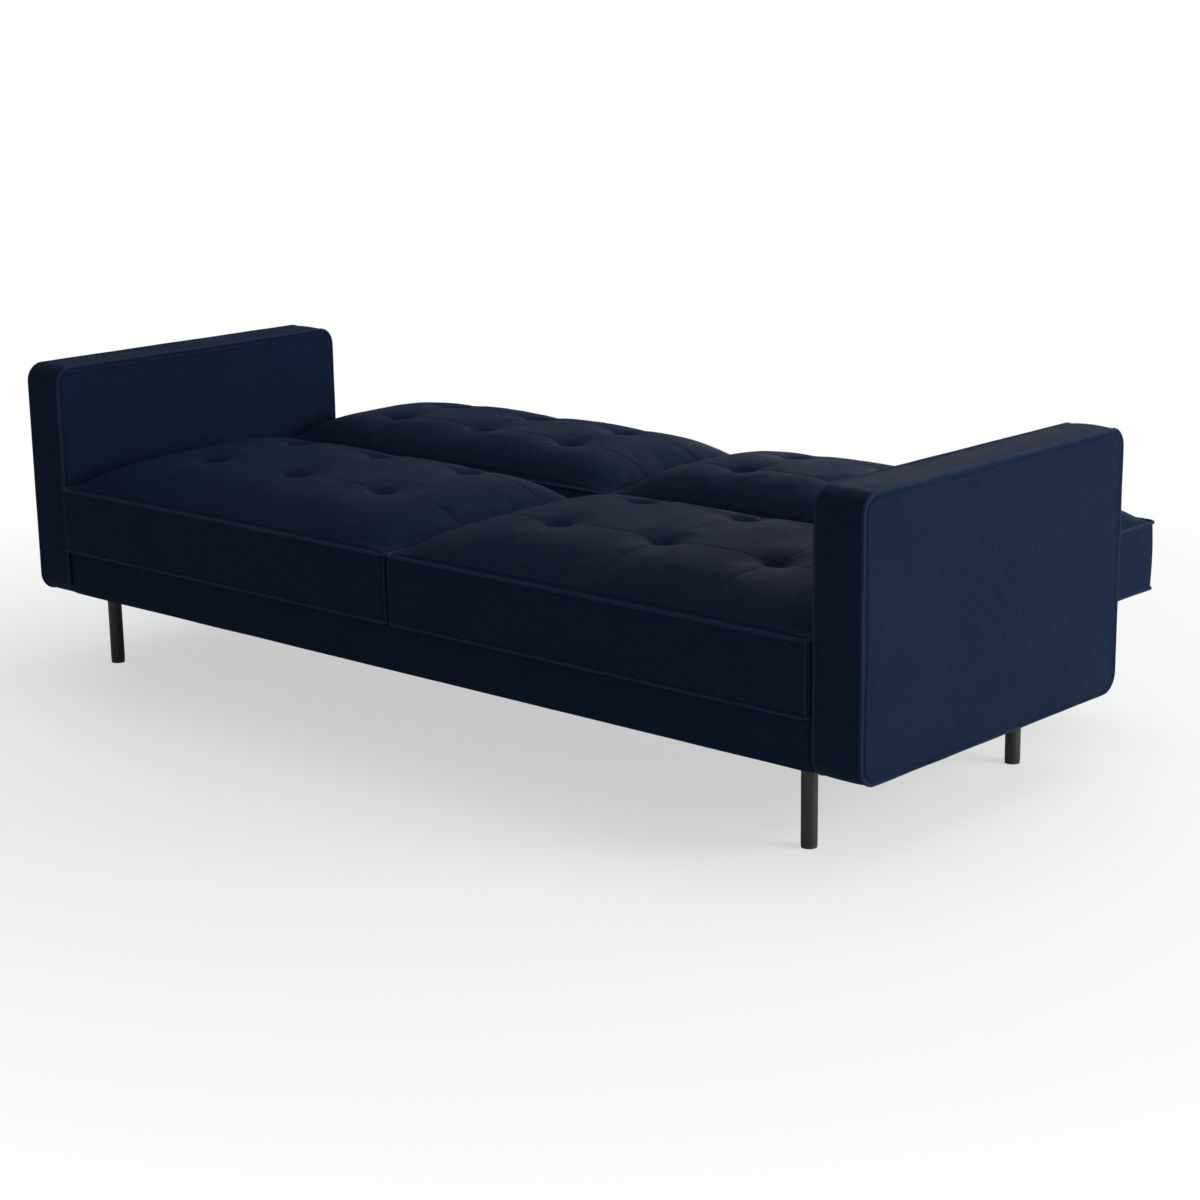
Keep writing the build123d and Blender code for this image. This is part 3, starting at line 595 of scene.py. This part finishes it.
def relaxed(c):
    """Cloth over the foam, pinned at edges and buttons and pressed from below: how far each point moved."""
    xs, ys = grid_lines(c.low[0], c.high[0], [], False), grid_lines(c.low[1], c.high[1], [], False)
    x, y = np.meshgrid(xs, ys, indexing="ij")
    z = c.seam + c.height(x, y)
    points = np.stack([x, y, z], -1).reshape(-1, 3)
    nx, ny = len(xs), len(ys)
    sheet = new_piece("relax_sheet", points, grid_faces(nx, ny), NAVY)
    pins = sheet.vertex_groups.new(name="pins")
    for k, (px, py, _) in enumerate(points):
        i, j = divmod(k, ny)
        held = 1.0 if i in (0, nx - 1) or j in (0, ny - 1) else 0.0
        near = min(math.hypot(px - bx, py - by) for bx in c.columns for by in c.rows)
        held = max(held, 1.0 if near < 18 * MM else 0.0)
        if held:
            pins.add([k], held, "REPLACE")
    cloth = sheet.modifiers.new("cloth", "CLOTH")
    settings = cloth.settings
    settings.vertex_group_mass = "pins"
    settings.quality = 6
    settings.mass = 0.25
    settings.tension_stiffness = 25
    settings.compression_stiffness = 12
    settings.shear_stiffness = 6
    settings.bending_stiffness = 0.35
    settings.shrink_min = -0.005
    settings.use_pressure = True
    settings.uniform_pressure_force = 2.2
    settings.effector_weights.gravity = 0
    cloth.collision_settings.use_collision = False
    scene = bpy.context.scene
    cloth.point_cache.frame_start = 1
    cloth.point_cache.frame_end = CLOTH_FRAMES
    for f in range(1, CLOTH_FRAMES + 1):
        scene.frame_set(f)
    view = sheet.evaluated_get(bpy.context.evaluated_depsgraph_get())
    moved = np.empty(len(points) * 3)
    view.data.vertices.foreach_get("co", moved)
    scene.frame_set(1)
    bpy.data.objects.remove(sheet)
    shift = np.clip(moved.reshape(-1, 3) - points, -CLOTH_LIMIT, CLOTH_LIMIT)
    return xs, ys, shift.reshape(nx, ny, 3)


def sampled(xs, ys, field, x, y):
    """The field's value at each point, between its grid's rows."""
    i = np.clip(np.searchsorted(xs, x) - 1, 0, len(xs) - 2)
    j = np.clip(np.searchsorted(ys, y) - 1, 0, len(ys) - 2)
    u = ((x - xs[i]) / (xs[i + 1] - xs[i]))[..., None]
    v = ((y - ys[j]) / (ys[j + 1] - ys[j]))[..., None]
    low = field[i, j] * (1 - u) + field[i + 1, j] * u
    high = field[i, j + 1] * (1 - u) + field[i + 1, j + 1] * u
    return low * (1 - v) + high * v


def boundary(nx, ny):
    """The grid's edge points in order, anticlockwise from above."""
    loop = [(i, 0) for i in range(nx)] + [(nx - 1, j) for j in range(1, ny)]
    return loop + [(i, ny - 1) for i in range(nx - 2, -1, -1)] + [(0, j) for j in range(ny - 2, 0, -1)]


def ring_at(c, x, y, z, bulge):
    """The cushion's outline at one height: the crown's edge points, out to the boxing."""
    away = max(0.0, z - HINGE_Z) * GROOVE_SLOPE
    low = [c.full_low[0] - bulge * 0.2, c.full_low[1] + (away if c.kind == "back" else -bulge)]
    high = [c.full_high[0] + bulge * 0.2, c.full_high[1] - (away if c.kind == "seat" else -bulge)]
    px = low[0] + (x - c.low[0]) / (c.high[0] - c.low[0]) * (high[0] - low[0])
    py = low[1] + (y - c.low[1]) / (c.high[1] - c.low[1]) * (high[1] - low[1])
    px, py = rounded_place(px, py, low, high, CORNER)
    return np.stack([px, py, np.full_like(px, z)], -1)


def cushion_piece(c):
    """The cushion's cover, and the lines on it that its cords and stitches follow."""
    xs, ys = grid_lines(c.low[0], c.high[0], c.columns), grid_lines(c.low[1], c.high[1], c.rows)
    x, y = np.meshgrid(xs, ys, indexing="ij")
    z = c.seam + c.height(x, y)
    px, py = rounded_place(x, y, c.low, c.high, CORNER)
    top = np.stack([px, py, z], -1)
    top = top + sampled(*relaxed(c), x, y)
    nx, ny = len(xs), len(ys)
    soft = np.clip(edge_distance(x, y, c.low, c.high) / (30 * MM), 0, 1)
    for scale, amount in ((6.0, 1.8 * MM), (24.0, 0.5 * MM)):
        waves = np.array(ripple(top.reshape(-1, 3), amount, scale, c.seed)).reshape(nx, ny, 3)
        top[..., 2] += soft * waves[..., 2]
    loop = boundary(nx, ny)
    li, lj = np.array([p[0] for p in loop]), np.array([p[1] for p in loop])
    rows = (0.03, 0.07, 0.13, 0.2, 0.3, 0.4, 0.5, 0.6, 0.7, 0.8, 0.87, 0.93, 0.97)
    rings, depth = [], c.seam - c.base
    for t in rows:
        ring = ring_at(c, x[li, lj], y[li, lj], c.seam - t * depth, 3.2 * MM * math.sin(math.pi * t) ** 0.7)
        waves = np.array(ripple(ring, 1.1 * MM * math.sin(math.pi * t), 9.0, c.seed + 9))
        ring[:, 1] += waves[:, 1]
        rings.append(ring)
    rings.append(ring_at(c, x[li, lj], y[li, lj], c.base + 0.4 * MM, -2 * MM))
    middle = np.array([(c.full_low[0] + c.full_high[0]) / 2, (c.full_low[1] + c.full_high[1]) / 2, c.base])
    points = list(top.reshape(-1, 3))
    faces = grid_faces(nx, ny)
    last = [i * ny + j for i, j in loop]
    count = len(loop)
    for ring in rings:
        now = list(range(len(points), len(points) + count))
        points += list(ring)
        faces += [(now[k], now[(k + 1) % count], last[(k + 1) % count], last[k]) for k in range(count)]
        last = now
    hub = len(points)
    points.append(middle + np.array([0, 0, 0.4 * MM]))
    faces += [(hub, last[(k + 1) % count], last[k]) for k in range(count)]
    piece = new_piece(f"{c.node}_cover", points, faces, NAVY)
    place_piece(piece, c.kind, "velvet", c.node)
    lift = np.array([0, 0, 0.5 * MM])
    seams = [top[np.argmin(np.abs(xs - s)), 2:-2] + lift for s in c.columns]
    seams += [top[2:-2, np.argmin(np.abs(ys - s))] + lift for s in c.rows]
    tops = [
        top[np.argmin(np.abs(xs - bx)), np.argmin(np.abs(ys - by))] + np.array([0, 0, 1.5 * MM])
        for bx in c.columns for by in c.rows
    ]
    upper = ring_at(c, x[li, lj], y[li, lj], c.seam, 1.0 * MM)
    lower = ring_at(c, x[li, lj], y[li, lj], c.base + 2.5 * MM, 1.0 * MM)
    for cord in (upper, lower):
        cord[:, 0] = np.clip(cord[:, 0], c.full_low[0] + 1.6 * MM, c.full_high[0] - 1.6 * MM)
    corners = [k for k in range(count) if li[k] in (0, nx - 1) and lj[k] == 0]
    down = np.linspace(0, 1, 12)
    fronts = [
        [(1 - t) * upper[k] + t * lower[k] + (0, -1.6 * MM * math.sin(math.pi * t), 0) for t in down]
        for k in corners
    ]
    return {"seams": seams, "buttons": tops, "upper": upper, "lower": lower, "fronts": fronts}


def wavy(line, seed, amount=0.5 * MM):
    """The line with the small waves of a sewn edge."""
    return [Vector(p) + w for p, w in zip(line, ripple(line, amount, 14.0, seed))]


def cushions(kind):
    """Both cushions of the seat or the back, with their cords, stitches and buttons."""
    made = [cushion_piece(Cushion(kind, side)) for side in (-1, 1)]
    cords = [wavy(m[edge], 2) for m in made for edge in ("upper", "lower")]
    cord = grown(f"{kind}_welt_cords", CORDS, cords, closed=True)
    place_piece(cord, kind, "velvet", f"{kind}_piping")
    if kind == "seat":
        # Cords down the seat cushions' front corners, in the lighter welt velvet: a painted highlight along the
        # corner edges.
        lines = [wavy(front, 2) for m in made for front in m["fronts"]]
        joins = grown("seat_corner_seams", CORDS, lines, Radius=2.0 * MM)
        place_piece(joins, kind, "velvet")
    stitches = grown(f"{kind}_seam_stitches", STITCHES, [s for m in made for s in m["seams"]])
    place_piece(stitches, kind, "velvet")
    buttons = grown(f"{kind}_covered_buttons", BUTTONS, [[p] for m in made for p in m["buttons"]])
    place_piece(buttons, kind, "velvet", f"{kind}_buttons")


# ---- Arms ----


def outline(half_y, half_z, radius, step=9 * MM, corner_points=8):
    """Points round a rounded rectangle in the YZ plane, anticlockwise seen from +X."""
    ny, nz = int(round(2 * half_y / step)), int(round(2 * half_z / step))
    ay, az = half_y - radius, half_z - radius
    points = []
    sides = (
        (ay, -az, nz, 0, 2 * az), (ay, az, ny, -2 * ay, 0),
        (-ay, az, nz, 0, -2 * az), (-ay, -az, ny, 2 * ay, 0),
    )
    for turn, (cy, cz, count, span_y, span_z) in enumerate(sides):
        for k in range(corner_points):
            angle = math.radians(-90 + 90 * turn + 90 * k / corner_points)
            points.append((cy + radius * math.cos(angle), cz + radius * math.sin(angle)))
        outward = math.radians(90 * turn)
        edge_y, edge_z = cy + radius * math.cos(outward), cz + radius * math.sin(outward)
        points += [(edge_y + span_y * k / count, edge_z + span_z * k / count) for k in range(count)]
    return points


def arm_profile(thickness):
    """(distance from the inner face, inset from the outline) across an arm: panel, boxing, panel."""
    insets = [225, 205, 180, 155, 130, 105, 82, 62, 46, 34, 25, 19, 15, 13, 11, 9.5, 8, 6.5, 5, 3.5, 2, 0.5]
    inner = [(0.8 * (1 - math.exp(-i / 60)) * -MM + groove(i * MM), i * MM) for i in insets]
    outer = [
        (thickness + 5.5 * MM * (1 - math.exp(-i / 55)) - groove(i * MM), i * MM) for i in reversed(insets)
    ]
    boxing = []
    for t in (0.02, 0.05, 0.1, 0.2, 0.35, 0.5, 0.65, 0.8, 0.9, 0.95, 0.98):
        boxing.append((t * thickness, -2.2 * MM * math.sin(math.pi * t) ** 0.6))
    return inner + boxing + outer


def arm(side):
    """One arm's cover, with its two welt cords and the stitches beside them."""
    name = "right" if side > 0 else "left"
    low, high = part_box(f"arm_upholstery_{name}")
    inner_x = low[0] if side > 0 else high[0]
    thickness = high[0] - low[0]
    cy, cz = (low[1] + high[1]) / 2, (low[2] + high[2]) / 2
    half_y, half_z = (high[1] - low[1]) / 2, (high[2] - low[2]) / 2
    base = outline(half_y, half_z, ARM_CORNER)

    def ring(across, inset):
        """The arm's outline at one place across it, drawn in by the inset."""
        radius = max(ARM_CORNER - inset, 3 * MM)
        new_y, new_z = half_y - inset, half_z - inset
        points = []
        for y, z in base:
            ay, az = half_y - ARM_CORNER, half_z - ARM_CORNER
            ry = max(abs(y) - ay, 0) / ARM_CORNER
            rz = max(abs(z) - az, 0) / ARM_CORNER
            by, bz = new_y - radius, new_z - radius
            py = math.copysign(min(abs(y), ay) / ay * by + ry * radius, y)
            pz = math.copysign(min(abs(z), az) / az * bz + rz * radius, z)
            points.append(Vector((inner_x + side * across, cy + py, cz + pz)))
        return points

    points, faces, last, count = [], [], None, len(base)
    for across, inset in arm_profile(thickness):
        now = list(range(len(points), len(points) + count))
        points += ring(across, inset)
        if last:
            faces += [(last[k], last[(k + 1) % count], now[(k + 1) % count], now[k]) for k in range(count)]
        last = now
    faces += [tuple(range(count))[::-1], tuple(last)]
    outer_waves = ripple(points, 2.6 * MM, 4.2, 20 + side)
    small_waves = ripple(points, 0.5 * MM, 26.0, 30 + side)
    inner_part = 25 * MM
    moved = []
    for p, a, b in zip(points, outer_waves, small_waves):
        free = min(1.0, abs(p.x - inner_x) / inner_part)
        moved.append(p + (a + b) * free)
    if side < 0:
        faces = [f[::-1] for f in faces]
    piece = new_piece(f"arm_{name}_cover", moved, faces, NAVY)
    place_piece(piece, "base", "velvet", f"arm_upholstery_{name}")
    loops = [ring(CORD * 0.9, 0.6 * MM), ring(thickness - CORD * 0.7, 0.2 * MM)]
    cords = grown(f"arm_{name}_welt_cords", CORDS, [wavy(loop, 40 + side) for loop in loops], closed=True)
    place_piece(cords, "base", "velvet", f"arm_piping_{name}")
    seams = [ring(thickness - groove(ARM_SEAM) + 0.9 * MM, ARM_SEAM)]
    stitches = grown(f"arm_{name}_stitches", STITCHES, [wavy(line, 40 + side) for line in seams], closed=True)
    place_piece(stitches, "base", "velvet")


# ---- Covered rails and linings ----


def covered_rail(node, body, waves, seed):
    """Velvet pulled tight round a rail: a long block with rounded edges and slight waves."""
    low, high = Vector(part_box(node)[0]), Vector(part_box(node)[1])
    half_y, half_z = (high.y - low.y) / 2, (high.z - low.z) / 2
    section = outline(half_y, half_z, 5 * MM, step=8 * MM, corner_points=4)
    count, steps = len(section), int((high.x - low.x) / (14 * MM))
    centre = (low + high) / 2
    points, faces = [], []
    for i in range(steps + 1):
        end = min(i, steps - i)
        shrink = 1.0 - (0.02 if end == 0 else 0.006 if end == 1 else 0.0)
        x = low.x + (high.x - low.x) * i / steps
        points += [Vector((x, centre.y + y * shrink, centre.z + z * shrink)) for y, z in section]
    for i in range(steps):
        a, b = i * count, (i + 1) * count
        faces += [(a + k, a + (k + 1) % count, b + (k + 1) % count, b + k) for k in range(count)]
    faces += [tuple(range(count))[::-1], tuple(steps * count + k for k in range(count))]
    shifts = ripple(points, waves, 7.0, seed)
    moved = [p + Vector((0, s.y, s.z * 0.5)) for p, s in zip(points, shifts)]
    piece = new_piece(f"{node}_velvet", moved, faces, NAVY)
    place_piece(piece, body, "velvet", node)
    return piece


def lining(node, body, sag, cut_outs=()):
    """Thin cloth stapled under a frame, hanging a little between its edges, with staples along them."""
    low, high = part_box(node)
    z = low[2]
    xs, ys = np.linspace(low[0], high[0], 70), np.linspace(low[1], high[1], 26)
    points = []
    for x in xs:
        for y in ys:
            u, v = (x - low[0]) / (high[0] - low[0]), (y - low[1]) / (high[1] - low[1])
            inside = 0 < u < 1 and 0 < v < 1
            drop = sag * math.sin(math.pi * u) ** 0.5 * math.sin(math.pi * v) if inside else 0.0
            wave = 0.8 * MM * noise.noise(Vector((x * 9, y * 9, 1.5))) * min(1, 6 * min(u, 1 - u, v, 1 - v))
            points.append((x, y, z - drop + wave))
    ny = len(ys)
    faces = []
    for i in range(len(xs) - 1):
        for j in range(ny - 1):
            mx, my = (xs[i] + xs[i + 1]) / 2, (ys[j] + ys[j + 1]) / 2
            if not any(abs(mx - cx) < r and abs(my - cy) < r for cx, cy, r in cut_outs):
                faces.append((i * ny + j, i * ny + j + 1, (i + 1) * ny + j + 1, (i + 1) * ny + j))
    piece = new_piece(f"{node}_cloth", points, faces, FINISHES["lining"])
    thick = piece.modifiers.new("thickness", "SOLIDIFY")
    thick.thickness = 0.5 * MM
    place_piece(piece, body, "lining", node)
    rows = []
    for x in np.arange(low[0] + STAPLE_PITCH / 2, high[0] - 20 * MM, STAPLE_PITCH):
        rows += [[(x, low[1] + 6 * MM, z - 0.8 * MM)], [(x, high[1] - 6 * MM, z - 0.8 * MM)]]
    staples = grown(f"{node}_staples", STAPLES, rows)
    place_piece(staples, body, "steel")
    return piece


# ---- Camera, light and floor ----


def add_camera():
    """A long lens at the front right, a little above the arms, held almost level."""
    yaw, pitch, roll = math.radians(41.844), math.radians(14.984), math.radians(-0.674)
    ahead = Vector((-math.sin(yaw) * math.cos(pitch), math.cos(yaw) * math.cos(pitch), -math.sin(pitch)))
    right = Vector((math.cos(yaw), math.sin(yaw), 0))
    up = right.cross(ahead)
    turned = right * math.cos(roll) + up * math.sin(roll)
    upward = -right * math.sin(roll) + up * math.cos(roll)
    arm_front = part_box("arm_upholstery_right")[0][1]
    data = bpy.data.cameras.new("camera")
    data.sensor_width = 36.0
    data.lens = 78.43
    data.shift_x = -0.020
    data.shift_y = 0.041
    data.clip_end = 60
    camera = bpy.data.objects.new("camera", data)
    bpy.context.collection.objects.link(camera)
    basis = Matrix((turned, upward, -ahead)).transposed().to_4x4()
    camera.matrix_world = Matrix.Translation((3.3819, -3.1455 + arm_front, 1.4199)) @ basis
    bpy.context.scene.camera = camera


def area_light(name, place, target, size, power, colour=(1, 1, 1)):
    """A rectangular light aimed at a target."""
    data = bpy.data.lights.new(name, "AREA")
    data.shape = "RECTANGLE"
    data.size, data.size_y = size
    data.energy = power
    data.color = colour
    light = bpy.data.objects.new(name, data)
    bpy.context.collection.objects.link(light)
    light.location = place
    light.rotation_euler = (Vector(target) - Vector(place)).to_track_quat("-Z", "Y").to_euler()


def add_studio():
    """Three soft lights, a white background and a pale floor that fades into it; the floor's glow is painted
    light.
    """
    area_light("overhead", (0.3, 1.4, 4.2), (0, 0.2, 0.3), (5.0, 3.0), 76, (0.93, 0.97, 1.0))
    area_light("side", (5.0, 1.6, 1.6), (0.6, 0, 0.3), (3.0, 2.4), 235)
    area_light("rear", (-1.0, 5.0, 1.8), (0, 0.2, 0.4), (4.5, 1.6), 60)
    world = bpy.data.worlds.new("studio")
    bpy.context.scene.world = world
    world.use_nodes = True
    sky = world.node_tree.nodes["Background"]
    sky.inputs["Color"].default_value = (1.0, 1.0, 1.0, 1)
    ray = world.node_tree.nodes.new("ShaderNodeLightPath")
    level = span(world.node_tree, ray.outputs["Is Camera Ray"], 0.0, 1.0, 0.42, 1.0)
    world.node_tree.links.new(level, sky.inputs["Strength"])
    material, tree, shader, place = finish_material("studio_floor", 0.75)
    shader.inputs["Base Color"].default_value = (0.88, 0.88, 0.89, 1)
    shader.inputs["Specular IOR Level"].default_value = 0.1
    away = tree.nodes.new("ShaderNodeVectorMath")
    away.operation = "LENGTH"
    tree.links.new(place, away.inputs[0])
    # The floor glows for the camera only: painted light that lifts the sofa's cast shadow near it and rises to the
    # white of the background further off.
    glow = tree.nodes.new("ShaderNodeEmission")
    tree.links.new(span(tree, away.outputs["Value"], 0.9, 2.4, 0.88, 1.0), glow.inputs["Strength"])
    ray = tree.nodes.new("ShaderNodeLightPath")
    share = span(tree, away.outputs["Value"], 0.9, 2.2, 0.62, 1.0)
    seen = maths(tree, "MULTIPLY", share, ray.outputs["Is Camera Ray"])
    fade = tree.nodes.new("ShaderNodeMixShader")
    tree.links.new(seen, fade.inputs["Fac"])
    tree.links.new(shader.outputs[0], fade.inputs[1])
    tree.links.new(glow.outputs[0], fade.inputs[2])
    tree.links.new(fade.outputs[0], tree.nodes["Material Output"].inputs["Surface"])
    corners = [(-30, -30, 0), (30, -30, 0), (30, 30, 0), (-30, 30, 0)]
    floor = new_piece("floor", corners, [(0, 1, 2, 3)], material)
    bpy.context.scene.view_settings.view_transform = "Standard"


finish_cad_nodes()
add_camera()
add_studio()
cushions("seat")
cushions("back")
for side in (-1, 1):
    arm(side)
covered_rail("front_rail_cover", "base", 1.0 * MM, 51)
covered_rail("rear_rail_cover", "base", 0.6 * MM, 52)
legs = [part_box(f"leg_{place}") for place in ("front_left", "front_right", "rear_left", "rear_right")]
plates = [((a[0] + b[0]) / 2, (a[1] + b[1]) / 2, LEG_CUT_OUT) for a, b in legs]
lining("base_dust_cover", "base", 3 * MM, plates)
lining("seat_panel", "seat", 0.6 * MM)
lining("back_panel", "back", 2 * MM)
